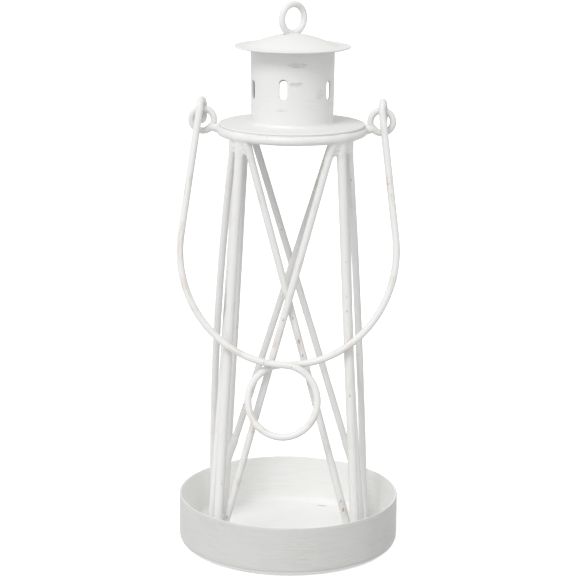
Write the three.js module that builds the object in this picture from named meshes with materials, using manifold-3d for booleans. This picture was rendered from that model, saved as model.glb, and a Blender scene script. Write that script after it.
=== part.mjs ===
// A painted-metal candle lantern: a round tray, a cage of four posts and eight crossed braces,
// a wire top ring with a plate, a vented chimney under a brimmed cap, and a swinging wire bail.
// Millimetres. +Z is up and the front faces -Y. The origin is the centre of the tray's underside.

import * as THREE from 'three';
import { mergeVertices } from 'three/addons/utils/BufferGeometryUtils.js';
import ManifoldModule from 'manifold-3d';

const wasm = await ManifoldModule();
wasm.setup();

// ---- driving dimensions -------------------------------------------------------------------

const HEIGHT = 301.6;
const GAP = 0.3;               // air left at each welded joint, so that pieces stay separate
const SHEET = 1.0;             // thickness of the tray, plate, chimney and cap

const TRAY = { radius: 61, height: 28.1, heel: 5 };
const POST = { radius: 2.5, topRadius: 37.4, footRadius: 54.2, corner: 45 };
const BRACE = { radius: 2.0 };
const RING = { radius: 38.3, wire: 2.5, z: 232.6 };
const PLATE = { radius: 39.4, crown: 1.0, draughtHole: 17.5 };
const CHIMNEY = { footRadius: 22.2, topRadius: 22.55 };
const CAP = { brimZ: 276.7, brimRadius: 31.2, lip: 0.5, lipWidth: 2 };
const DOME = { radius: 25, rise: 7, curve: 1.6 };
const HANGER = { wire: 1.8, radius: 7.65, turn: 41, lean: 2 };
const LUG = { wire: 1.8, radius: 6.1, x: 48.1, z: 237.7 };
const SIDES = { left: -1, right: 1 };
const BAIL = { wire: 1.95, lean: 14.7, armSpread: { [SIDES.left]: 7.4, [SIDES.right]: 7 }, centreX: -0.85 };
const BOW = { halfWidth: 57.7, depth: 60.9, centre: 76.15 };
const EYE = { radius: 5.4, drop: 0.9, sweep: 285, turn: { [SIDES.left]: 1.6, [SIDES.right]: 1.4 } };
const LOOP = { x: -2.4, halfWidth: 18.5, halfHeight: 19.2, cross: 2.25 };
const VENT = { width: 4.5, length: 10.6, z: 257.2, dip: 3.2, angles: [-67, -11, 60, 120, 194.5, 238] };

// Angles are in degrees round the lantern from its front, positive towards +X.
// A brace leaves the ring at "top" and stands on the tray at "foot"; bow is its belly outwards.
// Its top is as far out as the posts' tops, or further out where topRadius is given.
const topRadius = 39.3;
const BRACES = [
  { name: 'brace_front_outer', face: 0, top: 36.4, foot: -50.4, footRadius: 50, bow: 2.6 },
  { name: 'brace_front_inner', face: 0, top: -37.7, foot: 50, footRadius: 50, bow: -2.0 },
  { name: 'brace_right_outer', face: 90, top: 54.8, foot: 118, footRadius: 49, bow: 1.2 },
  { name: 'brace_right_inner', face: 90, top: 126, foot: 59, footRadius: 50, bow: -3.4 },
  { name: 'brace_rear_outer', face: 180, top: 217.8, foot: 121.5, footRadius: 54, bow: 1.6, topRadius },
  { name: 'brace_rear_inner', face: 180, top: 142.2, foot: 239, footRadius: 54, bow: -3.4, topRadius },
  { name: 'brace_left_outer', face: 270, top: 306.5, foot: 242, footRadius: 49, bow: 3.8 },
  { name: 'brace_left_inner', face: 270, top: 234, foot: 301, footRadius: 50, bow: -0.8 },
];

// How finely the round shapes are divided.
const WIRE_SIDES = 10;
const ROD_SIDES = 12;
const RING_STEPS = 48;
const SMALL_RING_STEPS = 28;
const ROUND = 64;
const TURNED = 48;

const trayFloor = SHEET;
const plateEdgeZ = RING.z + RING.wire + GAP;
const chimneyBore = CHIMNEY.footRadius - SHEET;
const chimneyFootZ = plateEdgeZ + SHEET + PLATE.crown * (1 - chimneyBore / PLATE.radius) + GAP;
const hangerZ = HEIGHT - HANGER.wire - HANGER.radius;
const hingeZ = LUG.z + LUG.radius;

const rad = THREE.MathUtils.degToRad;

// ---- finishes -----------------------------------------------------------------------------

const paintedSheet = { color: 0xeeede9, roughness: 0.6, metalness: 0.0 };
const paintedWire = { color: 0xe9e7e1, roughness: 0.5, metalness: 0.0 };

// ---- helpers ------------------------------------------------------------------------------

const lantern = new THREE.Group();

function addPart(name, geometry, finish) {
  const mesh = new THREE.Mesh(geometry, new THREE.MeshStandardMaterial(finish));
  mesh.name = name;
  lantern.add(mesh);
  return mesh;
}

function merged(geometry) {
  const bare = geometry.clone();
  bare.deleteAttribute('normal');
  bare.deleteAttribute('uv');
  return mergeVertices(bare, 1e-4);
}

function toSolid(geometry) {
  const bare = merged(geometry);
  return new wasm.Manifold(new wasm.Mesh({
    numProp: 3,
    vertProperties: new Float32Array(bare.attributes.position.array),
    triVerts: new Uint32Array(bare.index.array),
  }));
}

function toGeometry(solid) {
  const mesh = solid.getMesh();
  const geometry = new THREE.BufferGeometry();
  geometry.setAttribute('position', new THREE.BufferAttribute(mesh.vertProperties, 3));
  geometry.setIndex(new THREE.BufferAttribute(mesh.triVerts, 1));
  return geometry;
}

// The point at an angle round the lantern, a radius out from its axis.
function around(angle, radius, z) {
  return new THREE.Vector3(radius * Math.sin(rad(angle)), -radius * Math.cos(rad(angle)), z);
}

// A wire of round section along a path.
function wireAlong(path, radius, steps, sides = WIRE_SIDES) {
  const corners = Array.from({ length: sides }, (_, i) => {
    const a = (2 * Math.PI * i) / sides;
    return new THREE.Vector2(radius * Math.cos(a), radius * Math.sin(a));
  });
  const section = new THREE.Shape(corners);
  return new THREE.ExtrudeGeometry(section, { steps, extrudePath: path, bevelEnabled: false });
}

// A turned or pressed sheet piece: its outline, [radius, z] pairs, spun round the Z axis.
function spun(outline, segments = ROUND) {
  const points = outline.map(([r, z]) => new THREE.Vector2(r, z));
  return new THREE.LatheGeometry(points, segments).rotateX(Math.PI / 2);
}

// Points of an arc in an outline, from one angle to another, in degrees.
function arc(cx, cz, radius, from, to, count) {
  return Array.from({ length: count + 1 }, (_, i) => {
    const a = rad(from + ((to - from) * i) / count);
    return [cx + radius * Math.cos(a), cz + radius * Math.sin(a)];
  });
}

// A closed wire ring lying flat at the origin.
function wireRing(radius, wire, segments, sides = WIRE_SIDES) {
  const section = arc(radius, 0, wire, 0, 360, sides);
  section[sides] = section[0];
  return spun(section, segments);
}

// ---- tray ---------------------------------------------------------------------------------

function tray() {
  const { radius, height, heel } = TRAY;
  return spun([
    [0, 0],
    ...arc(radius - heel, heel, heel, -90, 0, 4),
    [radius, height],
    [radius - SHEET, height],
    ...arc(radius - heel, heel, heel - SHEET, 0, -90, 4),
    [0, trayFloor],
  ]);
}

// ---- cage ---------------------------------------------------------------------------------

// A rod from the tray floor up to the ring, bellied outwards by its bow. It is made overlong,
// then its foot is cut level above the floor and its top is coped to fit under the ring.
class RodPath extends THREE.Curve {
  constructor(top, foot, belly) {
    super();
    this.top = top;
    this.foot = foot;
    this.belly = belly;
  }

  getPoint(t, target = new THREE.Vector3()) {
    const s = -0.04 + 1.08 * t;
    const bowed = 4 * s * (1 - s);
    return target.copy(this.foot).lerp(this.top, s).addScaledVector(this.belly, bowed);
  }
}

const COPE_SIDES = 16;
const copeRing = toSolid(
  wireRing(RING.radius, RING.wire + GAP, RING_STEPS, COPE_SIDES).translate(0, 0, RING.z),
);

function rod(top, foot, belly, radius, steps) {
  const overlong = toSolid(wireAlong(new RodPath(top, foot, belly), radius, steps, ROD_SIDES));
  const shoulder = RING.z - 0.7 * RING.wire;
  const stay = new THREE.BoxGeometry(4 * TRAY.radius, 4 * TRAY.radius, shoulder - foot.z);
  stay.translate(0, 0, (shoulder + foot.z) / 2);
  return toGeometry(overlong.intersect(toSolid(stay)).subtract(copeRing));
}

const footZ = trayFloor + 1.5 * GAP;
const rodTopZ = RING.z - RING.wire;

function post(angle) {
  const top = around(angle, POST.topRadius, rodTopZ);
  return rod(top, around(angle, POST.footRadius, footZ), new THREE.Vector3(), POST.radius, 1);
}

function brace({ face, top, foot, footRadius, bow, topRadius = POST.topRadius }) {
  const belly = around(face, bow, 0);
  return rod(around(top, topRadius, rodTopZ), around(foot, footRadius, footZ), belly, BRACE.radius, 8);
}

// ---- top ----------------------------------------------------------------------------------

// The plate is slightly crowned, and open in the middle for the draught up the chimney.
function plate() {
  const { radius, crown, draughtHole } = PLATE;
  const rise = crown * (1 - draughtHole / radius);
  return spun([
    [draughtHole, plateEdgeZ + rise],
    [radius, plateEdgeZ],
    [radius, plateEdgeZ + SHEET],
    [draughtHole, plateEdgeZ + rise + SHEET],
    [draughtHole, plateEdgeZ + rise],
  ]);
}

// The line of vents runs a little lower round the back than at the front.
function ventZ(angle) {
  return VENT.z - VENT.dip * (1 - Math.cos(rad(angle)));
}

function ventCutter(angle) {
  const half = VENT.length / 2 - VENT.width / 2;
  const outline = new THREE.Shape();
  outline.absarc(0, half, VENT.width / 2, 0, Math.PI, false);
  outline.absarc(0, -half, VENT.width / 2, Math.PI, 2 * Math.PI, false);
  const cutter = new THREE.ExtrudeGeometry(outline, { depth: 8, bevelEnabled: false, curveSegments: 4 });
  cutter.rotateX(Math.PI / 2).translate(0, -CHIMNEY.footRadius + 4, ventZ(angle)).rotateZ(rad(angle));
  return toSolid(cutter);
}

function chimney() {
  const { footRadius, topRadius } = CHIMNEY;
  const topZ = CAP.brimZ + domeRise(topRadius) - 1.2 * GAP;
  const tube = spun([
    [chimneyBore, chimneyFootZ],
    [footRadius, chimneyFootZ],
    [topRadius, topZ],
    [topRadius - SHEET, topZ],
    [chimneyBore, chimneyFootZ],
  ], TURNED);
  return toGeometry(VENT.angles.reduce((solid, angle) => solid.subtract(ventCutter(angle)), toSolid(tube)));
}

// The dome's height above the brim at a radius: full at the middle, steeper towards the brim.
function domeRise(r) {
  return DOME.rise * (1 - (r / DOME.radius) ** DOME.curve);
}

function capOutline() {
  const { brimZ, brimRadius, lip, lipWidth } = CAP;
  const steps = [0, 0.2, 0.4, 0.6, 0.8, 1].map((share) => share * DOME.radius);
  const upper = steps.map((r) => [r, brimZ + SHEET + domeRise(r)]);
  const lower = steps.map((r) => [r, brimZ + domeRise(r)]);
  return [
    ...lower,
    [brimRadius - lipWidth, brimZ],
    [brimRadius, brimZ + lip],
    [brimRadius, brimZ + lip + 0.8 * SHEET],
    [brimRadius - lipWidth, brimZ + SHEET],
    ...upper.reverse(),
  ];
}

function placeHanger(geometry) {
  return geometry
    .rotateX(Math.PI / 2)
    .rotateZ(rad(HANGER.turn))
    .rotateY(rad(HANGER.lean))
    .translate(0, 0, hangerZ);
}

// The hanging ring's foot is let into a slot at the top of the dome.
function cap() {
  const slot = toSolid(placeHanger(wireRing(HANGER.radius, HANGER.wire + GAP, SMALL_RING_STEPS)));
  return toGeometry(toSolid(spun(capOutline(), TURNED)).subtract(slot));
}

// ---- bail ---------------------------------------------------------------------------------

// One wire, bent in a plane that leans forward from the hinge. In that plane a point is
// (x, down, out): across the lantern, down along the arms, and out from the plane to the front.
// Each arm meets the elliptical bow where the ellipse runs the same way as the arm.
function bowStart(side) {
  return Math.atan((BOW.depth / BOW.halfWidth) * Math.tan(rad(BAIL.armSpread[side])));
}

function armEnd(side) {
  return BOW.centre - BOW.depth * Math.sin(bowStart(side));
}

function armX(side, down) {
  const bowX = BOW.halfWidth * Math.cos(bowStart(side));
  return BAIL.centreX + side * (bowX - (armEnd(side) - down) * Math.tan(rad(BAIL.armSpread[side])));
}

// The eye's curl turns a little about the arm, so its back limb stands towards +X.
function eyePoint(side, angle) {
  const a = rad(angle);
  const x = armX(side, EYE.drop) + (EYE.turn[side] * (1 - Math.cos(a))) / 2;
  return [x, EYE.drop - EYE.radius * Math.sin(a), EYE.radius * Math.cos(a)];
}

function armPoint(side, s) {
  const down = THREE.MathUtils.lerp(EYE.drop, armEnd(side), s);
  return [armX(side, down), down, EYE.radius];
}

// Round the bow, from the arm (s = 0) to the crossing over the finger loop (s = 1).
function bowPoint(side, s) {
  const end = Math.acos((side * (LOOP.x - BAIL.centreX)) / BOW.halfWidth);
  const a = THREE.MathUtils.lerp(-bowStart(side), end, s);
  const x = BAIL.centreX + side * BOW.halfWidth * Math.cos(a);
  const step = -side * LOOP.cross * THREE.MathUtils.smoothstep(s, 0.55, 1);
  return [x, BOW.centre + BOW.depth * Math.sin(a), EYE.radius + step];
}

function loopPoint(s) {
  const a = 2 * Math.PI * s;
  const down = BOW.centre + BOW.depth + LOOP.halfHeight * (1 - Math.cos(a));
  return [LOOP.x + LOOP.halfWidth * Math.sin(a), down, EYE.radius + LOOP.cross * Math.cos(a / 2)];
}

class BailPath extends THREE.Curve {
  constructor() {
    super();
    this.sections = [
      { steps: 14, at: (s) => eyePoint(-1, EYE.sweep * (1 - s)) },
      { steps: 2, at: (s) => armPoint(-1, s) },
      { steps: 14, at: (s) => bowPoint(-1, s) },
      { steps: 22, at: loopPoint },
      { steps: 14, at: (s) => bowPoint(1, 1 - s) },
      { steps: 2, at: (s) => armPoint(1, 1 - s) },
      { steps: 14, at: (s) => eyePoint(1, EYE.sweep * s) },
    ];
    this.steps = this.sections.reduce((sum, section) => sum + section.steps, 0);
  }

  getPoint(t, target = new THREE.Vector3()) {
    let left = Math.min(Math.max(t, 0), 1) * this.steps;
    let i = 0;
    while (i < this.sections.length - 1 && left > this.sections[i].steps) {
      left -= this.sections[i].steps;
      i += 1;
    }
    const [x, down, out] = this.sections[i].at(left / this.sections[i].steps);
    const lean = rad(BAIL.lean);
    const y = -down * Math.sin(lean) - out * Math.cos(lean);
    return target.set(x, y, hingeZ - down * Math.cos(lean) + out * Math.sin(lean));
  }

  // The steps are close in the curls and long in the arms, so they are not spaced by length.
  getPointAt(u, target) {
    return this.getPoint(u, target);
  }

  getTangentAt(u, target) {
    return this.getTangent(u, target);
  }
}

function bail() {
  const path = new BailPath();
  return wireAlong(path, BAIL.wire, path.steps);
}

// ---- assembly -----------------------------------------------------------------------------

addPart('tray', tray(), paintedSheet);

const corners = { front_right: 1, rear_right: 3, rear_left: 5, front_left: 7 };
for (const [corner, turns] of Object.entries(corners)) {
  addPart(`post_${corner}`, post(turns * POST.corner), paintedWire);
}
for (const spec of BRACES) {
  addPart(spec.name, brace(spec), paintedWire);
}

addPart('top_ring', wireRing(RING.radius, RING.wire, RING_STEPS), paintedWire).position.z = RING.z;
addPart('top_plate', plate(), paintedSheet);
addPart('chimney', chimney(), paintedSheet);
addPart('roof_cap', cap(), paintedSheet);
addPart('hanging_ring', placeHanger(wireRing(HANGER.radius, HANGER.wire, SMALL_RING_STEPS)), paintedWire);

for (const [name, side] of Object.entries(SIDES)) {
  const lug = addPart(`lug_${name}`, wireRing(LUG.radius, LUG.wire, SMALL_RING_STEPS), paintedWire);
  lug.rotation.x = Math.PI / 2;
  lug.position.set(side * LUG.x, 0, LUG.z);
}

addPart('bail', bail(), paintedWire);

export default lantern;
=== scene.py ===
# The looks of a white painted metal candle lantern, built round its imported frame.
#
# Wire pieces are drawn along their centre lines and given a slightly uneven, hand-dipped surface.
# Sheet pieces are turned up ring by ring from a disc, and welds are grown round the rods they join.
# The frame is in metres, so sizes written here in millimetres are multiplied by MM.

import math

import bpy
from mathutils import Matrix, Vector


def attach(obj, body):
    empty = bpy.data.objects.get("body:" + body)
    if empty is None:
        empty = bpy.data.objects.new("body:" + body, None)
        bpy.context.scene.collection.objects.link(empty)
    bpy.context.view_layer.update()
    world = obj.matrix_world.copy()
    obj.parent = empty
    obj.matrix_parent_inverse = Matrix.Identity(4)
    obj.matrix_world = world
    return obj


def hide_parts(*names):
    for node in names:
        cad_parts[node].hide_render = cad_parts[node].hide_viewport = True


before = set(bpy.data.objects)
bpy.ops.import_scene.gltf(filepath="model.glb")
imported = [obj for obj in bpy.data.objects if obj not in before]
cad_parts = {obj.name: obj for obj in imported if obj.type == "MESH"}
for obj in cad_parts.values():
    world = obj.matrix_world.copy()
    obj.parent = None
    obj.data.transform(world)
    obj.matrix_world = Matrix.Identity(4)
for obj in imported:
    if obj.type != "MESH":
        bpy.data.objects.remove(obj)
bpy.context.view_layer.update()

bpy.ops.object.select_all(action="DESELECT")

MM = 0.001
FIXED = "lantern"
SWINGING = "handle"

# ---- sizes, in millimetres, as the frame has them ------------------------------------------

SHEET = 1.0
TRAY = dict(radius=61.0, height=28.1, heel=5.0)
POST = dict(radius=2.5, top_radius=37.4, foot_radius=54.2)
BRACE_WIRE = 2.0
RING = dict(radius=38.3, wire=2.5, z=232.6)
PLATE = dict(radius=39.4, crown=1.0, draught_hole=17.5, edge_z=235.4)
CHIMNEY = dict(foot_radius=22.2, top_radius=22.55, foot_z=237.16)
CAP = dict(brim_z=276.7, brim_radius=31.2, lip=0.5)
DOME = dict(radius=25.0, rise=7.0, curve=1.6)
VENT = dict(width=4.5, length=10.6, z=257.2, dip=3.2, angles=(-67, -11, 60, 120, 194.5, 238))
HANGER = dict(wire=1.8, radius=7.65, turn=41, lean=2, z=292.15)
LUG = dict(wire=1.8, radius=6.1, x=48.1, z=237.7)
BAIL = dict(wire=1.95, lean=14.7, centre_x=-0.85)
ARM_SPREAD = {-1: 7.4, 1: 7.0}
BOW = dict(half_width=57.7, depth=60.9, centre=76.15)
EYE = dict(radius=5.4, drop=0.9, sweep=285)
EYE_TURN = {-1: 1.6, 1: 1.4}
LOOP = dict(x=-2.4, half_width=18.5, half_height=19.2, cross=2.25)
HINGE_Z = LUG["z"] + LUG["radius"]

REAR_TOP = 39.3
# name: (face angle, angle at the ring, angle at the foot, radius at the foot, belly, radius at the ring)
BRACES = {
    "brace_front_outer": (0, 36.4, -50.4, 50, 2.6, POST["top_radius"]),
    "brace_front_inner": (0, -37.7, 50, 50, -2.0, POST["top_radius"]),
    "brace_right_outer": (90, 54.8, 118, 49, 1.2, POST["top_radius"]),
    "brace_right_inner": (90, 126, 59, 50, -3.4, POST["top_radius"]),
    "brace_rear_outer": (180, 217.8, 121.5, 54, 1.6, REAR_TOP),
    "brace_rear_inner": (180, 142.2, 239, 54, -3.4, REAR_TOP),
    "brace_left_outer": (270, 306.5, 242, 49, 3.8, POST["top_radius"]),
    "brace_left_inner": (270, 234, 301, 50, -0.8, POST["top_radius"]),
}
POSTS = {
    "post_front_right": 45,
    "post_rear_right": 135,
    "post_rear_left": 225,
    "post_front_left": 315,
}
FOOT_Z = SHEET + 0.05
ROD_TOP_Z = RING["z"] - RING["wire"]


def around(angle, radius, z):
    """The point at an angle round the lantern from its front, positive towards +X, in millimetres."""
    a = math.radians(angle)
    return Vector((radius * math.sin(a), -radius * math.cos(a), z))


# ---- centre lines ----------------------------------------------------------------------------


def rod_line(name, count=90):
    """The centre line of a post or a brace, from its foot up to the ring."""
    if name in POSTS:
        angle = POSTS[name]
        top = around(angle, POST["top_radius"], ROD_TOP_Z)
        foot = around(angle, POST["foot_radius"], FOOT_Z)
        belly = Vector()
    else:
        face, at_top, at_foot, foot_radius, bow, top_radius = BRACES[name]
        top = around(at_top, top_radius, ROD_TOP_Z)
        foot = around(at_foot, foot_radius, FOOT_Z)
        belly = around(face, bow, 0)
    shares = [i / count for i in range(count + 1)]
    return [foot.lerp(top, s) + belly * (4 * s * (1 - s)) for s in shares]


def on_rod(name, height):
    """The place on a rod's centre line nearest to a height."""
    return min(rod_line(name), key=lambda p: abs(p.z - height))


def rod_wire(name):
    """The radius of the wire that a rod is cut from."""
    return POST["radius"] if name in POSTS else BRACE_WIRE


def circle_line(centre, radius, across, up, count=96):
    """A closed round line in the plane of two directions."""
    angles = [2 * math.pi * i / count for i in range(count)]
    return [centre + radius * (across * math.cos(a) + up * math.sin(a)) for a in angles]


# The handle lies in a plane that leans forward from the hinge. A point in it is (x, down, out):
# across the lantern, down along the arms, and out from the plane to the front.


def bow_start(side):
    """The angle round the bow at which it runs the same way as the arm that it meets."""
    return math.atan(BOW["depth"] / BOW["half_width"] * math.tan(math.radians(ARM_SPREAD[side])))


def arm_end(side):
    """How far down the arm meets the bow."""
    return BOW["centre"] - BOW["depth"] * math.sin(bow_start(side))


def arm_x(side, down):
    bow_x = BOW["half_width"] * math.cos(bow_start(side))
    spread = math.tan(math.radians(ARM_SPREAD[side]))
    return BAIL["centre_x"] + side * (bow_x - (arm_end(side) - down) * spread)


def eye_point(side, share):
    """Round an eye's curl, from the arm to its cut end. It turns a little about the arm."""
    a = math.radians(EYE["sweep"] * share)
    x = arm_x(side, EYE["drop"]) + EYE_TURN[side] * (1 - math.cos(a)) / 2
    return x, EYE["drop"] - EYE["radius"] * math.sin(a), EYE["radius"] * math.cos(a)


def arm_point(side, share):
    down = EYE["drop"] + (arm_end(side) - EYE["drop"]) * share
    return arm_x(side, down), down, EYE["radius"]


def smooth_step(value, low, high):
    t = min(max((value - low) / (high - low), 0), 1)
    return t * t * (3 - 2 * t)


def bow_point(side, share):
    """Round half the bow, from an arm to the crossing over the finger loop."""
    start = -bow_start(side)
    end = math.acos(side * (LOOP["x"] - BAIL["centre_x"]) / BOW["half_width"])
    a = start + (end - start) * share
    x = BAIL["centre_x"] + side * BOW["half_width"] * math.cos(a)
    out = EYE["radius"] - side * LOOP["cross"] * smooth_step(share, 0.55, 1)
    return x, BOW["centre"] + BOW["depth"] * math.sin(a), out


def loop_point(share):
    a = 2 * math.pi * share
    x = LOOP["x"] + LOOP["half_width"] * math.sin(a)
    down = BOW["centre"] + BOW["depth"] + LOOP["half_height"] * (1 - math.cos(a))
    return x, down, EYE["radius"] + LOOP["cross"] * math.cos(a / 2)


def bail_line():
    """The handle's one wire: eye, arm, half the bow, the finger loop, and back up the other side."""
    runs = [
        (40, lambda s: eye_point(-1, 1 - s)),
        (40, lambda s: arm_point(-1, s)),
        (70, lambda s: bow_point(-1, s)),
        (90, loop_point),
        (70, lambda s: bow_point(1, 1 - s)),
        (40, lambda s: arm_point(1, 1 - s)),
        (40, lambda s: eye_point(1, s)),
    ]
    lean = math.radians(BAIL["lean"])
    line = []
    for count, at in runs:
        first = 1 if line else 0
        for i in range(first, count + 1):
            x, down, out = at(i / count)
            y = -down * math.sin(lean) - out * math.cos(lean)
            line.append(Vector((x, y, HINGE_Z - down * math.cos(lean) + out * math.sin(lean))))
    return line


# ---- modelling helpers -----------------------------------------------------------------------


def take(name):
    """Names the active object and its mesh, and leaves it the only one selected."""
    piece = bpy.context.object
    piece.name = name
    piece.data.name = name
    bpy.ops.object.select_all(action="DESELECT")
    piece.select_set(True)
    bpy.context.view_layer.objects.active = piece
    return piece


def apply_place():
    bpy.ops.object.transform_apply(location=True, rotation=True, scale=True)


def modify(piece, kind, **settings):
    """Adds a modifier with its settings and applies it."""
    modifier = piece.modifiers.new(kind.title(), kind)
    for key, value in settings.items():
        setattr(modifier, key, value)
    bpy.context.view_layer.objects.active = piece
    bpy.ops.object.modifier_apply(modifier=modifier.name)


def unevenness(name, grain):
    texture = bpy.data.textures.new(name, "CLOUDS")
    texture.noise_scale = grain * MM
    texture.noise_depth = 1
    return texture


DIPPED = unevenness("dipped paint", 7.0)
PRESSED = unevenness("pressed sheet", 26.0)
LUMPY = unevenness("lumpy weld", 2.2)


def roughen(piece, texture, depth):
    """Pushes the surface in and out a little, so that it reads as made by hand."""
    modify(piece, "DISPLACE", texture=texture, strength=depth * MM, mid_level=0.5)


def set_wear(piece, amount):
    """How much a wire has been handled, from 0 to 1, kept on its own mesh for the paint to read."""
    layer = piece.data.attributes.new("wear", "FLOAT", "POINT")
    layer.data.foreach_set("value", [amount] * len(piece.data.vertices))


def finish_piece(piece, body, slot, material, *nodes):
    """Deselects a finished piece, gives it its material and joins it to the frame."""
    bpy.ops.object.select_all(action="DESELECT")
    piece.data.materials.clear()
    piece.data.materials.append(material)
    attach(piece, body)
    if nodes:
        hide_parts(*nodes)
    return piece


def lengthen_uv(piece, length, radius):
    """Scales a wire's own map to real millimetres: along the wire, and round it."""
    for corner in piece.data.uv_layers.active.data:
        corner.uv = (corner.uv[0] * length, corner.uv[1] * 2 * math.pi * radius)


def drawn_wire(name, line, radius, closed=False, sides=5):
    """A wire of round section along a line given in millimetres."""
    bpy.ops.curve.primitive_bezier_curve_add()
    curve = bpy.context.object.data
    curve.splines.clear()
    spline = curve.splines.new("POLY")
    spline.points.add(len(line) - 1)
    for point, place in zip(spline.points, line):
        point.co = (*(place * MM), 1)
    spline.use_cyclic_u = closed
    curve.dimensions = "3D"
    curve.bevel_depth = radius * MM
    curve.bevel_resolution = sides
    curve.use_fill_caps = True
    bpy.ops.object.convert(target="MESH")
    piece = take(name)
    length = sum((b - a).length for a, b in zip(line, line[1:]))
    lengthen_uv(piece, length, radius)
    bpy.ops.object.mode_set(mode="EDIT")
    bpy.ops.mesh.select_all(action="SELECT")
    bpy.ops.mesh.remove_doubles(threshold=0.01 * MM)
    bpy.ops.mesh.normals_make_consistent(inside=False)
    bpy.ops.object.mode_set(mode="OBJECT")
    bpy.ops.object.shade_smooth_by_angle(angle=math.radians(50))
    return piece


def turned(name, outline, segments=128, close_start=True, close_end=True):
    """A pressed or rolled piece, turned up from a ring: each [radius, z] pair adds a ring of faces."""
    (r0, z0), *rest = outline
    fill = "NGON" if close_start else "NOTHING"
    bpy.ops.mesh.primitive_circle_add(
        vertices=segments, radius=r0 * MM, location=(0, 0, z0 * MM), fill_type=fill
    )
    apply_place()
    piece = take(name)
    bpy.ops.object.mode_set(mode="EDIT")
    bpy.ops.mesh.select_all(action="SELECT")
    for r, z in rest:
        bpy.ops.mesh.extrude_edges_move(TRANSFORM_OT_translate={"value": (0, 0, (z - z0) * MM)})
        bpy.ops.transform.resize(value=(r / r0, r / r0, 1), center_override=(0, 0, z * MM))
        r0, z0 = r, z
    if close_end:
        bpy.ops.mesh.edge_face_add()
    bpy.ops.mesh.select_all(action="SELECT")
    bpy.ops.mesh.remove_doubles(threshold=0.01 * MM)
    bpy.ops.mesh.normals_make_consistent(inside=False)
    bpy.ops.object.mode_set(mode="OBJECT")
    bpy.ops.object.shade_smooth_by_angle(angle=math.radians(40))
    return piece


def arc(cx, cz, radius, start, end, count):
    """Points of an arc in an outline, from one angle to another, in degrees."""
    angles = [math.radians(start + (end - start) * i / count) for i in range(count + 1)]
    return [(cx + radius * math.cos(a), cz + radius * math.sin(a)) for a in angles]


def between(start, end, count):
    """Points along a straight stretch of an outline, without its ends."""
    (r0, z0), (r1, z1) = start, end
    shares = [i / count for i in range(1, count)]
    return [(r0 + (r1 - r0) * s, z0 + (z1 - z0) * s) for s in shares]


def stub(start, end, radius_start, radius_end):
    """A short tapered length of weld metal from one point to another."""
    run = end - start
    bpy.ops.mesh.primitive_cone_add(
        vertices=20,
        radius1=radius_start * MM,
        radius2=radius_end * MM,
        depth=run.length * MM,
        location=(start + end) / 2 * MM,
        rotation=run.to_track_quat("Z", "Y").to_euler(),
    )
    return bpy.context.object


def weld(name, stubs, grain=0.42, rounds=7):
    """Grows one weld from its stubs: they are joined, melted together and smoothed into fillets."""
    parts = [stub(*one) for one in stubs]
    bpy.ops.object.select_all(action="DESELECT")
    for part in parts:
        part.select_set(True)
    bpy.context.view_layer.objects.active = parts[0]
    bpy.ops.object.join()
    apply_place()
    piece = take(name)
    modify(piece, "REMESH", mode="VOXEL", voxel_size=grain * MM)
    modify(piece, "SMOOTH", factor=0.5, iterations=rounds)
    roughen(piece, LUMPY, 0.22)
    bpy.ops.object.shade_smooth()
    return piece


# ---- materials -------------------------------------------------------------------------------


def srgb(code):
    """An sRGB hex colour as the linear colour that a shader takes."""
    levels = [int(code[i : i + 2], 16) / 255 for i in (0, 2, 4)]
    linear = [v / 12.92 if v <= 0.04045 else ((v + 0.055) / 1.055) ** 2.4 for v in levels]
    return (*linear, 1.0)


WHITE = srgb("E9E9E8")  # chalk paint at its full thickness
INSIDE_PAINTED_LIGHT = srgb("FAFAF9")  # the same white, painted brighter inside the tray: painted light that makes up for the light the inside lacks
WARM = srgb("DDDAD2")  # thinner paint, warmed by what is under it
WALL = srgb("D3D3D1")  # greyer paint on the outside of the tray
GREY = srgb("B9B8B2")  # bristle marks that reach the primer
SMEAR = srgb("B5A9A4")  # what other things left as they rubbed past
RUBBED = srgb("C8B195")  # the undercoat, where handling wears through to it
RUST = srgb("9A8671")  # a breath of rust under thin paint
STEEL = srgb("5A5148")  # bare steel at the bottom of a chip

# Settings that many nodes share. A colour mix takes its colours at 6 and 7 and gives them at 2.
SMOOTH = dict(interpolation_type="SMOOTHSTEP")
COLOURS = dict(data_type="RGBA")
MIXED = 2
BELOW = 6
ABOVE = 7


def add_node(tree, kind, inputs, output=0, **settings):
    """Adds a shader node with its settings and links, and gives one of its outputs. An input's
    value is a constant or another node's output. A MapRange's inputs are the value, the two ends
    that it comes from and the two ends that it goes to."""
    made = tree.nodes.new("ShaderNode" + kind)
    for key, value in settings.items():
        setattr(made, key, value)
    for key, value in inputs.items():
        if isinstance(value, bpy.types.NodeSocket):
            tree.links.new(value, made.inputs[key])
        else:
            made.inputs[key].default_value = value
    return made.outputs[output]


def grain(size):
    """The scale of a noise on metres whose features are this many millimetres."""
    return 1 / (size * MM)


def painted_surface(name, roughness):
    """A new material with its shader: dielectric paint, so no metallic and an IOR of 1.5."""
    material = bpy.data.materials.new(name)
    material.use_nodes = True
    tree = material.node_tree
    shader = tree.nodes["Principled BSDF"]
    shader.inputs["Metallic"].default_value = 0.0
    shader.inputs["IOR"].default_value = 1.5
    shader.inputs["Roughness"].default_value = roughness
    return material, tree, shader


def bumped(tree, shader, coarse, coarse_depth, fine, fine_depth):
    """Two layers of unevenness in the paint, with their depths in millimetres."""
    lower = add_node(tree, "Bump", {"Height": coarse, "Distance": coarse_depth * MM, "Strength": 1.0})
    upper = {"Height": fine, "Distance": fine_depth * MM, "Strength": 1.0, "Normal": lower}
    tree.links.new(add_node(tree, "Bump", upper), shader.inputs["Normal"])


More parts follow.
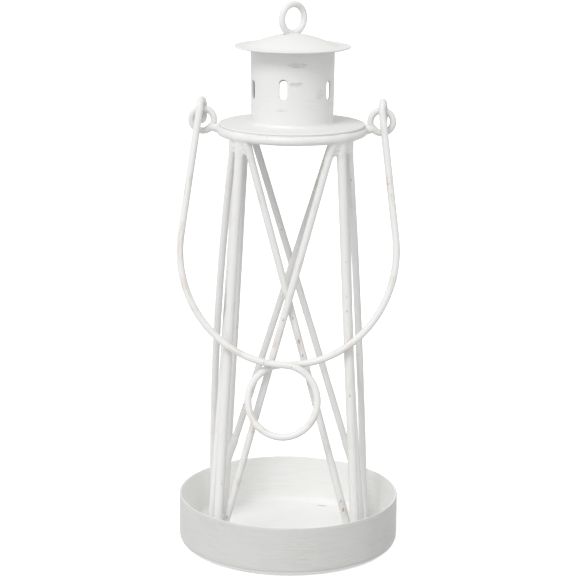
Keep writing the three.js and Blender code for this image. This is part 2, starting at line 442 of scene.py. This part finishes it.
def ragged(tree, place, size, reach):
    """A place pushed about by noise, so that a mark drawn on it has a torn edge. The size of the
    tears and how far they reach are in millimetres."""
    fuzz = add_node(tree, "TexNoise", {"Vector": place, "Scale": grain(size)}, "Color")
    centred = add_node(tree, "VectorMath", {0: fuzz, 1: (0.5, 0.5, 0.5)}, operation="SUBTRACT")
    pushed = add_node(tree, "VectorMath", {0: centred, "Scale": reach * MM}, operation="SCALE")
    return add_node(tree, "VectorMath", {0: place, 1: pushed}, operation="ADD")


def mark(tree, place, centre, size, shape=(1, 1, 1), strength=1.0):
    """A spot at a place in millimetres: its full strength in the middle, falling to 0 at its edge."""
    middle = tuple(c * MM for c in centre)
    away = add_node(tree, "VectorMath", {0: place, 1: middle}, operation="SUBTRACT")
    shaped = add_node(tree, "VectorMath", {0: away, 1: shape}, operation="DIVIDE")
    far = add_node(tree, "VectorMath", {0: shaped}, "Value", operation="LENGTH")
    edge = size * MM
    return add_node(tree, "MapRange", {0: far, 1: 0.55 * edge, 2: edge, 3: strength, 4: 0.0}, **SMOOTH)


# Short scrapes in the sheet paint: the middle and half the length in millimetres, the shape
# along X, Y and Z, and how strongly they show.
SCRAPES = [
    ((17.6, 51.4, SHEET), 2.6, (1, 0.3, 1), 0.7),
    ((19.6, 50.6, SHEET), 2.6, (1, 0.3, 1), 0.9),
    ((2.5, -22, 260), 4.5, (1, 1, 0.35), 0.5),
    ((-5, -21.6, 246), 4.0, (1, 1, 0.2), 0.3),
    ((3, -22, 270), 6.5, (1, 1, 0.24), 0.5),
    ((15, -16.5, 254), 3.0, (1, 1, 1.2), 0.3),
]
# The brush went round each piece, so its marks are this many times finer across than along.
BRUSH_DRAG = 22.0


def brushed_sheet_paint(name, white, greyer_beyond=None):
    """Chalky white emulsion brushed round steel sheet by hand: matt, with fine bristle marks running
    round the piece that let the primer through where the coat is thin. Beyond a given radius the coat
    is greyer and shows more brush."""
    material, tree, shader = painted_surface(name, 0.58)
    place = add_node(tree, "TexCoord", {}, "Object")
    x, y, z = add_node(tree, "SeparateXYZ", {0: place}).node.outputs
    level = add_node(tree, "CombineXYZ", {0: x, 1: y})
    reach = add_node(tree, "VectorMath", {0: level}, "Value", operation="LENGTH")
    across = add_node(tree, "Math", {0: z, 1: reach}, operation="ADD")
    dragged = add_node(tree, "Math", {0: across, 1: BRUSH_DRAG}, operation="MULTIPLY")
    brush = add_node(tree, "CombineXYZ", {0: x, 1: y, 2: dragged})
    fine = {"Vector": brush, "Scale": grain(7), "Detail": 4.0, "Roughness": 0.62}
    bristle = add_node(tree, "TexNoise", fine)
    stroke = add_node(tree, "TexNoise", {"Vector": brush, "Scale": grain(13), "Detail": 3.0})
    patch = add_node(tree, "TexNoise", {"Vector": place, "Scale": grain(21), "Detail": 3.0})
    speck = add_node(tree, "TexNoise", {"Vector": place, "Scale": grain(0.8), "Detail": 2.0})

    warmth = add_node(tree, "MapRange", {0: stroke, 1: 0.4, 2: 0.7, 3: 0.0, 4: 0.14}, **SMOOTH)
    colour = add_node(tree, "Mix", {0: warmth, BELOW: white, ABOVE: WARM}, MIXED, **COLOURS)
    streaks = 0.12
    if greyer_beyond:
        inside, outside = (greyer_beyond - 0.6) * MM, (greyer_beyond - 0.3) * MM
        greyer_outside = add_node(tree, "MapRange", {0: reach, 1: inside, 2: outside}, **SMOOTH)
        dulled = add_node(tree, "MapRange", {0: stroke, 1: 0.35, 2: 0.7, 3: 0.0, 4: 0.16}, **SMOOTH)
        wall = add_node(tree, "Mix", {0: dulled, BELOW: WALL, ABOVE: GREY}, MIXED, **COLOURS)
        colour = add_node(tree, "Mix", {0: greyer_outside, BELOW: colour, ABOVE: wall}, MIXED, **COLOURS)
        streaks = add_node(tree, "Math", {0: greyer_outside, 1: 0.38, 2: 0.1}, operation="MULTIPLY_ADD")

    thin_bristle = add_node(tree, "MapRange", {0: bristle, 1: 0.5, 2: 0.68}, **SMOOTH)
    thin_patch = add_node(tree, "MapRange", {0: patch, 1: 0.44, 2: 0.6}, **SMOOTH)
    thin = add_node(tree, "Math", {0: thin_bristle, 1: thin_patch}, operation="MULTIPLY")
    streaked = add_node(tree, "Math", {0: thin, 1: streaks}, operation="MULTIPLY")
    colour = add_node(tree, "Mix", {0: streaked, BELOW: colour, ABOVE: GREY}, MIXED, **COLOURS)

    bare_bristle = add_node(tree, "MapRange", {0: bristle, 1: 0.62, 2: 0.72}, **SMOOTH)
    bare_patch = add_node(tree, "MapRange", {0: patch, 1: 0.58, 2: 0.68, 3: 0.0, 4: 0.3}, **SMOOTH)
    rusted = add_node(tree, "Math", {0: bare_bristle, 1: bare_patch}, operation="MULTIPLY")
    colour = add_node(tree, "Mix", {0: rusted, BELOW: colour, ABOVE: RUST}, MIXED, **COLOURS)

    torn = ragged(tree, place, 2.4, 2.2)
    broken = add_node(tree, "MapRange", {0: bristle, 1: 0.4, 2: 0.6, 3: 0.2, 4: 1.0}, **SMOOTH)
    for centre, size, shape, strength in SCRAPES:
        whole = mark(tree, torn, centre, size, shape, strength)
        scrape = add_node(tree, "Math", {0: whole, 1: broken}, operation="MULTIPLY")
        colour = add_node(tree, "Mix", {0: scrape, BELOW: colour, ABOVE: SMEAR}, MIXED, **COLOURS)
    tree.links.new(colour, shader.inputs["Base Color"])
    dull = add_node(tree, "MapRange", {0: stroke, 1: 0.3, 2: 0.7, 3: 0.5, 4: 0.66}, **SMOOTH)
    tree.links.new(dull, shader.inputs["Roughness"])
    bumped(tree, shader, bristle, 0.035, speck, 0.015)
    return material


# Small chips down to the steel on the wires: the rod, the height on it, and the size.
CHIPS = [
    ("brace_front_inner", 136, 0.7),
    ("brace_front_inner", 124, 1.1),
    ("brace_front_inner", 116, 0.9),
    ("brace_front_outer", 135, 0.8),
    ("brace_front_inner", 33, 0.8),
    ("brace_front_inner", 29, 1.0),
    ("brace_front_outer", 25, 0.9),
    ("post_front_right", 148, 0.7),
    ("post_front_right", 140, 0.8),
    ("post_front_right", 133, 0.6),
    ("post_front_right", 96, 0.7),
    ("brace_rear_outer", 180, 0.8),
    ("brace_right_outer", 90, 0.8),
    ("post_rear_left", 120, 0.9),
    ("brace_left_inner", 160, 0.8),
    ("brace_rear_inner", 70, 0.9),
]
# A chip's middle lies on the wire's outer face, front or rear, and it is longer along the wire.
CHIP_OUT = 2.1
CHIP_SHAPE = (0.7, 0.9, 1.7)
# Where fingers and other things have rubbed the rods down to the undercoat, given as the chips are.
RUBS = [
    ("brace_front_inner", 146, 6),
    ("brace_front_inner", 122, 8),
    ("brace_front_outer", 126, 7),
    ("brace_front_inner", 30, 6),
    ("brace_rear_inner", 200, 6),
]
# The same on the handle, as shares of the way along its wire.
BAIL_RUBS = [(0.25, 6), (0.335, 6), (0.46, 5), (0.54, 5)]
# Streaks are this many times finer round a wire than along it.
WIRE_DRAG = 7


def rubbed_wire_paint():
    """The same chalk paint on drawn wire: a little smoother, and handled until the warm undercoat
    shows in streaks along the wire, with small dark chips down to the steel."""
    material, tree, shader = painted_surface("rubbed chalk paint on steel wire", 0.5)
    place = add_node(tree, "TexCoord", {}, "Object")
    unrolled = add_node(tree, "TexCoord", {}, "UV")
    along = add_node(tree, "Mapping", {"Vector": unrolled, "Scale": (MM, WIRE_DRAG * MM, MM)})
    handled = add_node(tree, "Attribute", {}, "Fac", attribute_name="wear")
    fine = {"Vector": along, "Scale": grain(8), "Detail": 4.0, "Roughness": 0.6}
    streak = add_node(tree, "TexNoise", fine)
    patch = add_node(tree, "TexNoise", {"Vector": place, "Scale": grain(15), "Detail": 2.0})
    spot = add_node(tree, "TexNoise", {"Vector": place, "Scale": grain(1.5), "Detail": 2.0})
    speck = add_node(tree, "TexNoise", {"Vector": place, "Scale": grain(0.7), "Detail": 2.0})

    worn_streak = add_node(tree, "MapRange", {0: streak, 1: 0.46, 2: 0.66}, **SMOOTH)
    worn_patch = add_node(tree, "MapRange", {0: patch, 1: 0.5, 2: 0.66}, **SMOOTH)
    thin = add_node(tree, "Math", {0: worn_streak, 1: worn_patch}, operation="MULTIPLY")
    worn = add_node(tree, "Math", {0: thin, 1: handled}, operation="MULTIPLY")
    loose = ragged(tree, place, 5.0, 5.0)
    faded = add_node(tree, "MapRange", {0: streak, 1: 0.42, 2: 0.6, 3: 0.1, 4: 0.75}, **SMOOTH)
    line = bail_line()
    rubs = [(on_rod(rod, height), size) for rod, height, size in RUBS]
    rubs += [(line[round(share * len(line))], size) for share, size in BAIL_RUBS]
    for centre, size in rubs:
        whole = mark(tree, loose, centre, size)
        rub = add_node(tree, "Math", {0: whole, 1: faded}, operation="MULTIPLY")
        worn = add_node(tree, "Math", {0: worn, 1: rub}, operation="MAXIMUM")
    warmth = add_node(tree, "MapRange", {0: streak, 1: 0.35, 2: 0.7, 3: 0.0, 4: 0.14}, **SMOOTH)
    colour = add_node(tree, "Mix", {0: warmth, BELOW: WHITE, ABOVE: WARM}, MIXED, **COLOURS)
    showing = add_node(tree, "Math", {0: worn, 1: 0.5}, operation="MULTIPLY")
    colour = add_node(tree, "Mix", {0: showing, BELOW: colour, ABOVE: RUBBED}, MIXED, **COLOURS)

    pinhole = add_node(tree, "MapRange", {0: spot, 1: 0.70, 2: 0.73}, **SMOOTH)
    pitted = add_node(tree, "MapRange", {0: patch, 1: 0.52, 2: 0.58}, **SMOOTH)
    chipped = add_node(tree, "Math", {0: pinhole, 1: pitted}, operation="MULTIPLY")
    torn = ragged(tree, place, 0.8, 1.3)
    for rod, height, size in CHIPS:
        middle = on_rod(rod, height)
        face = Vector((0, math.copysign(CHIP_OUT, middle.y), 0))
        chip = mark(tree, torn, middle + face, size, CHIP_SHAPE)
        chipped = add_node(tree, "Math", {0: chipped, 1: chip}, operation="MAXIMUM")
    dark = add_node(tree, "Math", {0: chipped, 1: 0.5}, operation="MULTIPLY")
    colour = add_node(tree, "Mix", {0: dark, BELOW: colour, ABOVE: STEEL}, MIXED, **COLOURS)
    tree.links.new(colour, shader.inputs["Base Color"])
    dull = add_node(tree, "MapRange", {0: streak, 1: 0.3, 2: 0.7, 3: 0.42, 4: 0.6}, **SMOOTH)
    tree.links.new(dull, shader.inputs["Roughness"])
    bumped(tree, shader, streak, 0.012, speck, 0.012)
    return material


def paint_filled_weld():
    """Weld beads drowned in thick paint: smooth and glossier than the sheet, warm in the hollows."""
    material, tree, shader = painted_surface("thick paint over weld beads", 0.45)
    place = add_node(tree, "TexCoord", {}, "Object")
    blotch = add_node(tree, "TexNoise", {"Vector": place, "Scale": grain(5), "Detail": 3.0})
    speck = add_node(tree, "TexNoise", {"Vector": place, "Scale": grain(0.9), "Detail": 2.0})
    warmth = add_node(tree, "MapRange", {0: blotch, 1: 0.4, 2: 0.7, 3: 0.0, 4: 0.35}, **SMOOTH)
    colour = add_node(tree, "Mix", {0: warmth, BELOW: WHITE, ABOVE: WARM}, MIXED, **COLOURS)
    hollow = add_node(tree, "MapRange", {0: blotch, 1: 0.64, 2: 0.78, 3: 0.0, 4: 0.3}, **SMOOTH)
    colour = add_node(tree, "Mix", {0: hollow, BELOW: colour, ABOVE: RUBBED}, MIXED, **COLOURS)
    tree.links.new(colour, shader.inputs["Base Color"])
    dull = add_node(tree, "MapRange", {0: blotch, 1: 0.3, 2: 0.7, 3: 0.38, 4: 0.55}, **SMOOTH)
    tree.links.new(dull, shader.inputs["Roughness"])
    bumped(tree, shader, blotch, 0.05, speck, 0.015)
    return material


SHEET_PAINT = brushed_sheet_paint("brushed chalk paint on steel sheet", WHITE)
# The tray's white is painted brighter, as painted light standing in for more light inside it; beyond its
# radius the outer wall is greyer.
TRAY_PAINT = brushed_sheet_paint("chalk paint on the tray, with painted light inside", INSIDE_PAINTED_LIGHT, TRAY["radius"])
WIRE_PAINT = rubbed_wire_paint()
WELD_PAINT = paint_filled_weld()

# ---- tray, plate, chimney and cap ------------------------------------------------------------


def make_tray():
    radius, height, heel = TRAY["radius"], TRAY["height"], TRAY["heel"]
    inner = radius - SHEET
    rim = arc(radius - SHEET / 2, height - SHEET / 2, SHEET / 2, 0, 180, 8)
    outline = [
        (12, 0),
        (34, 0),
        *arc(radius - heel, heel, heel, -90, 0, 12),
        *between((radius, heel), (radius, height), 9),
        *rim,
        *between((inner, height), (inner, heel), 9),
        *arc(radius - heel, heel, heel - SHEET, 0, -90, 10),
        (44, SHEET),
        (30, SHEET),
        (14, SHEET),
    ]
    piece = turned("tray_shell", outline, 160)
    roughen(piece, PRESSED, 0.3)
    finish_piece(piece, FIXED, "painted_sheet", TRAY_PAINT, "tray")


def make_plate():
    radius, crown, hole, edge_z = PLATE["radius"], PLATE["crown"], PLATE["draught_hole"], PLATE["edge_z"]
    rise = crown * (1 - hole / radius)
    middle = edge_z + SHEET / 2
    edge = arc(radius - SHEET / 2, middle, SHEET / 2, -90, 90, 6)
    outline = [
        (hole, edge_z + rise),
        *between((hole, edge_z + rise), (radius - SHEET / 2, edge_z), 6),
        *edge,
        *between((radius - SHEET / 2, edge_z + SHEET), (hole, edge_z + rise + SHEET), 6),
        (hole, edge_z + rise + SHEET),
        (hole, edge_z + rise),
    ]
    piece = turned("top_plate_disc", outline, close_start=False, close_end=False)
    roughen(piece, PRESSED, 0.25)
    finish_piece(piece, FIXED, "painted_sheet", SHEET_PAINT, "top_plate")


def dome_height(r):
    return DOME["rise"] * (1 - (r / DOME["radius"]) ** DOME["curve"])


PUNCH = 12  # the length of the bar that punches a vent


def vent_punch(angle):
    """A round-ended bar set through the chimney's wall."""
    half = (VENT["length"] - VENT["width"]) / 2
    bpy.ops.mesh.primitive_cylinder_add(vertices=32, radius=VENT["width"] / 2 * MM, depth=PUNCH * MM)
    punch = bpy.context.object
    bpy.ops.object.mode_set(mode="EDIT")
    bpy.ops.mesh.select_all(action="SELECT")
    bpy.ops.transform.rotate(value=math.pi / 2, orient_axis="X", center_override=(0, 0, 0))
    bpy.ops.mesh.select_all(action="DESELECT")
    bpy.ops.object.mode_set(mode="OBJECT")
    for vertex in punch.data.vertices:
        vertex.co.z += math.copysign(half * MM, vertex.co.z) if abs(vertex.co.z) > 1e-6 else 0
    height = VENT["z"] - VENT["dip"] * (1 - math.cos(math.radians(angle)))
    place = around(angle, CHIMNEY["foot_radius"], height)
    punch.rotation_euler = (0, 0, math.radians(angle))
    punch.location = place * MM
    apply_place()
    return punch


def make_chimney():
    foot_r, top_r, foot_z = CHIMNEY["foot_radius"], CHIMNEY["top_radius"], CHIMNEY["foot_z"]
    top_z = CAP["brim_z"] + dome_height(top_r) - 0.3
    outer_foot, outer_top = (foot_r, foot_z), (top_r, top_z)
    inner_top, inner_foot = (top_r - SHEET, top_z), (foot_r - SHEET, foot_z)
    outline = [
        outer_foot,
        *between(outer_foot, outer_top, 16),
        outer_top,
        inner_top,
        *between(inner_top, inner_foot, 16),
        inner_foot,
        outer_foot,
    ]
    piece = turned("chimney_tube", outline, 128, close_start=False, close_end=False)
    punches = [vent_punch(angle) for angle in VENT["angles"]]
    bpy.ops.object.select_all(action="DESELECT")
    for punch in punches:
        punch.select_set(True)
    bpy.context.view_layer.objects.active = punches[0]
    bpy.ops.object.join()
    cutter = bpy.context.object
    modify(piece, "BOOLEAN", operation="DIFFERENCE", object=cutter, solver="EXACT")
    bpy.data.objects.remove(cutter)
    bpy.ops.object.select_all(action="DESELECT")
    piece.select_set(True)
    modify(piece, "BEVEL", width=0.22 * MM, segments=3, limit_method="ANGLE", angle_limit=math.radians(45))
    bpy.ops.object.shade_smooth_by_angle(angle=math.radians(40))
    finish_piece(piece, FIXED, "painted_sheet", SHEET_PAINT, "chimney")


def make_cap():
    brim_z, brim_r, lip = CAP["brim_z"], CAP["brim_radius"], CAP["lip"]
    radii = [DOME["radius"] * i / 14 for i in range(1, 15)]
    under = [(r, brim_z + dome_height(r)) for r in radii]
    over = [(r, brim_z + SHEET + dome_height(r)) for r in reversed(radii)]
    edge = arc(brim_r - 0.45, brim_z + lip + 0.4, 0.45, -90, 90, 6)
    outline = [
        *under,
        (brim_r - 3.5, brim_z),
        (brim_r - 2, brim_z + 0.05),
        *edge,
        (brim_r - 2, brim_z + SHEET + 0.02),
        (brim_r - 3.5, brim_z + SHEET - 0.05),
        *over,
    ]
    piece = turned("roof_cap_dome", outline, 128)
    roughen(piece, PRESSED, 0.3)
    finish_piece(piece, FIXED, "painted_sheet", SHEET_PAINT, "roof_cap")


make_tray()
make_plate()
make_chimney()
make_cap()

# ---- wires -----------------------------------------------------------------------------------

UP = Vector((0, 0, 1))
ACROSS = Vector((1, 0, 0))
BACKWARD = Vector((0, 1, 0))


# What is touched most is rubbed most, from 0 to 1.
WEAR = {"bail": 1.0, "brace_front_outer": 1.0, "brace_front_inner": 1.0, "hanging_ring": 0.6}
LITTLE_WEAR = 0.35


def make_rods():
    for name in [*POSTS, *BRACES]:
        piece = drawn_wire(f"{name}_rod", rod_line(name), rod_wire(name))
        roughen(piece, DIPPED, 0.12)
        set_wear(piece, WEAR.get(name, LITTLE_WEAR))
        finish_piece(piece, FIXED, "painted_wire", WIRE_PAINT, name)


def make_rings():
    ring = circle_line(Vector((0, 0, RING["z"])), RING["radius"], ACROSS, BACKWARD, 160)
    turn = Matrix.Rotation(math.radians(HANGER["lean"]), 3, "Y") @ Matrix.Rotation(
        math.radians(HANGER["turn"]), 3, "Z"
    )
    hanger = circle_line(Vector((0, 0, HANGER["z"])), HANGER["radius"], turn @ ACROSS, turn @ UP)
    left = circle_line(Vector((-LUG["x"], 0, LUG["z"])), LUG["radius"], ACROSS, UP)
    right = circle_line(Vector((LUG["x"], 0, LUG["z"])), LUG["radius"], ACROSS, UP)
    rings = {
        "top_ring": (ring, RING["wire"]),
        "hanging_ring": (hanger, HANGER["wire"]),
        "lug_left": (left, LUG["wire"]),
        "lug_right": (right, LUG["wire"]),
    }
    for name, (line, wire) in rings.items():
        piece = drawn_wire(f"{name}_wire", line, wire, closed=True)
        roughen(piece, DIPPED, 0.14)
        set_wear(piece, WEAR.get(name, LITTLE_WEAR))
        finish_piece(piece, FIXED, "painted_wire", WIRE_PAINT, name)


def make_bail():
    piece = drawn_wire("bail_handle", bail_line(), BAIL["wire"])
    modify(piece, "BEVEL", width=0.4 * MM, segments=2, limit_method="ANGLE", angle_limit=math.radians(60))
    roughen(piece, DIPPED, 0.12)
    set_wear(piece, WEAR["bail"])
    finish_piece(piece, SWINGING, "painted_wire", WIRE_PAINT, "bail")


make_rods()
make_rings()
make_bail()

# ---- welds -----------------------------------------------------------------------------------


# Weld metal ends this far under the surface of the wire that it runs along.
SUNK = 0.3


def ring_stubs(angle, span, thick, thin):
    """Weld metal laid along the top ring either side of an angle."""
    stubs = []
    for side in (-1, 1):
        for i in range(3):
            a, b = angle + side * span * i / 3, angle + side * span * (i + 1) / 3
            start, end = (around(at, RING["radius"], RING["z"]) for at in (a, b))
            wide, narrow = (thick + (thin - thick) * share / 3 for share in (i, i + 1))
            stubs.append((start, end, wide, narrow))
    return stubs


def down_rod(name, start, length, extra):
    """Weld metal along a rod, from a height down, thinning out to nothing."""
    wire = rod_wire(name)
    return on_rod(name, start), on_rod(name, start - length), wire + extra, wire - SUNK


RING_JOINTS = {
    "weld_ring_front_left": (-45.4, ("post_front_left", "brace_front_inner", "brace_left_outer")),
    "weld_ring_front_right": (45.4, ("post_front_right", "brace_front_outer", "brace_right_outer")),
    "weld_ring_rear_right": (134.4, ("post_rear_right", "brace_right_inner", "brace_rear_inner")),
    "weld_ring_rear_left": (225.9, ("post_rear_left", "brace_rear_outer", "brace_left_inner")),
}


def make_ring_welds():
    """At each corner: beads along the ring and down the rods, and webs between the post and its braces."""
    for name, (angle, rods) in RING_JOINTS.items():
        stubs = ring_stubs(angle, 14, 2.95, 2.3)
        stubs += [down_rod(rod, ROD_TOP_Z + 1, 15, 0.55) for rod in rods]
        post, *braces = rods
        for brace in braces:
            for drop, thick in ((0, 2.5), (2.5, 2.2), (5, 1.7)):
                ends = [on_rod(rod, ROD_TOP_Z - drop) for rod in (post, brace)]
                stubs.append((*ends, thick, thick))
        finish_piece(weld(name, stubs), FIXED, "painted_wire", WELD_PAINT)


def make_foot_welds():
    """A low collar round each foot on the tray's floor, drawn a little way up the rod."""
    for name in [*POSTS, *BRACES]:
        foot, wire = rod_line(name)[0], rod_wire(name)
        base = Vector((foot.x, foot.y, SHEET - SUNK))
        collar = (base, base + UP * 1.3, wire + 1.6, wire + 0.2)
        sleeve = (on_rod(name, 1.0), on_rod(name, 6.0), wire + 0.6, wire - SUNK)
        stubs = [collar, sleeve]
        finish_piece(weld(f"weld_foot_{name}", stubs), FIXED, "painted_wire", WELD_PAINT)


def on_lug(side, angle):
    """A place on a lug's centre line, with 180 degrees nearest to the lantern."""
    a = math.radians(angle)
    out = LUG["x"] + LUG["radius"] * math.cos(a)
    return Vector((side * out, 0, LUG["z"] + LUG["radius"] * math.sin(a)))


def make_lug_welds():
    """A neck of weld from the ring up to each lug, and beads along both."""
    for name, side in (("weld_lug_left", -1), ("weld_lug_right", 1)):
        ring_side = Vector((side * RING["radius"], 0, RING["z"]))
        lug_foot = Vector((
            side * (LUG["x"] - 0.78 * LUG["radius"]),
            0,
            LUG["z"] - 0.64 * LUG["radius"],
        ))
        stubs = [(ring_side, lug_foot, 2.75, 2.2), (ring_side + UP * 1.4, lug_foot + UP * 0.6, 2.2, 1.7)]
        angle = 90 if side > 0 else 270
        stubs += ring_stubs(angle, 9, 2.9, 2.35)
        for end in (190, 262):
            points = [on_lug(side, a) for a in (222, end)]
            stubs.append((*points, LUG["wire"] + 0.35, LUG["wire"] - SUNK))
        finish_piece(weld(name, stubs), FIXED, "painted_wire", WELD_PAINT)


def make_hanger_weld():
    """Weld metal where the hanging ring meets the dome."""
    dome_top = CAP["brim_z"] + SHEET + DOME["rise"]
    stubs = []
    turn = math.radians(HANGER["turn"])
    along = Vector((math.cos(turn), math.sin(turn), 0))
    for side in (-1, 1):
        foot = Vector((0, 0, dome_top - 0.7)) + along * side * 0.5
        stubs.append((foot, foot + along * side * 4.4 + UP * 0.3, 2.1, 1.2))
        stubs.append((foot, foot + along * side * 4.2 + UP * 2.0, 2.1, 1.4))
    finish_piece(weld("weld_hanging_ring", stubs), FIXED, "painted_wire", WELD_PAINT)


def make_painted_seams():
    """Thick paint in the corner round the chimney's foot, and between the plate and the ring."""
    foot_r, foot_z = CHIMNEY["foot_radius"], CHIMNEY["foot_z"] - 0.35
    fillet = [
        (foot_r - 0.5, foot_z - 0.2),
        (foot_r + 1.1, foot_z - 0.1),
        (foot_r + 0.45, foot_z + 0.35),
        (foot_r + 0.15, foot_z + 1.2),
        (foot_r - 0.5, foot_z + 1.5),
        (foot_r - 0.5, foot_z - 0.2),
    ]
    piece = turned("weld_chimney_foot", fillet, close_start=False, close_end=False)
    finish_piece(piece, FIXED, "painted_sheet", WELD_PAINT)
    seam_z = RING["z"] + RING["wire"] + 0.1
    seam = circle_line(Vector((0, 0, seam_z)), PLATE["radius"] - 0.8, ACROSS, BACKWARD, 160)
    piece = drawn_wire("weld_plate_seam", seam, 0.45, closed=True)
    roughen(piece, DIPPED, 0.1)
    finish_piece(piece, FIXED, "painted_sheet", WELD_PAINT)


# The height of the middle of each rear weld, and how far it runs up and down from there.
REAR_WELD = dict(z=46, reach=9)


def make_rear_welds():
    """The rear braces touch the rear posts low down, and are welded there."""
    for name, post, brace in (
        ("weld_rear_left", "post_rear_left", "brace_rear_inner"),
        ("weld_rear_right", "post_rear_right", "brace_rear_outer"),
    ):
        stubs = []
        for rod in (post, brace):
            middle, low, thick, thin = down_rod(rod, REAR_WELD["z"], REAR_WELD["reach"], 0.35)
            high = on_rod(rod, REAR_WELD["z"] + REAR_WELD["reach"])
            stubs += [(middle, low, thick, thin), (middle, high, thick, thin)]
        finish_piece(weld(name, stubs), FIXED, "painted_wire", WELD_PAINT)


make_ring_welds()
make_foot_welds()
make_lug_welds()
make_hanger_weld()
make_painted_seams()
make_rear_welds()

# ---- floor, light and camera -----------------------------------------------------------------


def make_floor():
    """A pale floor, lit from within a little so that it stays even, and kept from tinting the piece."""
    bpy.ops.mesh.primitive_plane_add(size=24)
    floor = take("floor")
    material, _, shader = painted_surface("pale studio floor", 0.9)
    shader.inputs["Base Color"].default_value = srgb("FAFAFA")
    shader.inputs["Emission Color"].default_value = srgb("FFFFFF")
    shader.inputs["Emission Strength"].default_value = 0.45
    floor.data.materials.append(material)
    floor.visible_diffuse = False
    bpy.ops.object.select_all(action="DESELECT")


# Towards the brightest part of the room: left of the front, and high.
ROOM_BRIGHT = (-0.42, -0.40, 0.81)
ROOM = dict(dark=0.6, bright=0.77)
KEY = dict(elevation=48, left=26, energy=1.35, spread=24)


def make_light():
    """A pale room, brightest high on the left, with one broad soft key light from there."""
    world = bpy.data.worlds.new("pale studio")
    bpy.context.scene.world = world
    world.use_nodes = True
    tree = world.node_tree
    back = tree.nodes["Background"]
    toward = add_node(tree, "TexCoord", {}, "Generated")
    side = add_node(tree, "VectorMath", {0: toward, 1: ROOM_BRIGHT}, "Value", operation="DOT_PRODUCT")
    dark, bright = ROOM["dark"], ROOM["bright"]
    light = add_node(tree, "MapRange", {0: side, 1: -0.7, 2: 0.75, 3: dark, 4: bright}, **SMOOTH)
    tree.links.new(light, back.inputs["Strength"])
    back.inputs["Color"].default_value = (1, 1, 1, 1)
    tilt = math.radians(90 - KEY["elevation"])
    bpy.ops.object.light_add(type="SUN", rotation=(tilt, 0, -math.radians(KEY["left"])))
    key = bpy.context.object
    key.name = "key light"
    key.data.energy = KEY["energy"]
    key.data.angle = math.radians(KEY["spread"])
    bpy.ops.object.select_all(action="DESELECT")


CAMERA = dict(lens=121.97, distance=1069.8, azimuth=1.5, elevation=13.559, roll=0.569)
TARGET = Vector((-1.286, 0, 145.125))


def make_camera():
    azimuth, elevation = math.radians(CAMERA["azimuth"]), math.radians(CAMERA["elevation"])
    back = Vector((
        math.sin(azimuth) * math.cos(elevation),
        -math.cos(azimuth) * math.cos(elevation),
        math.sin(elevation),
    ))
    bpy.ops.object.camera_add()
    camera = bpy.context.object
    camera.data.lens = CAMERA["lens"]
    camera.data.sensor_width = 36
    camera.data.clip_start = 0.05
    camera.data.clip_end = 100
    camera.location = (TARGET + back * CAMERA["distance"]) * MM
    camera.rotation_mode = "QUATERNION"
    upright = back.to_track_quat("Z", "Y")
    roll = Matrix.Rotation(math.radians(CAMERA["roll"]), 3, "Z").to_quaternion()
    camera.rotation_quaternion = upright @ roll
    bpy.context.scene.camera = camera


make_floor()
make_light()
make_camera()
bpy.context.scene.view_settings.view_transform = "Standard"
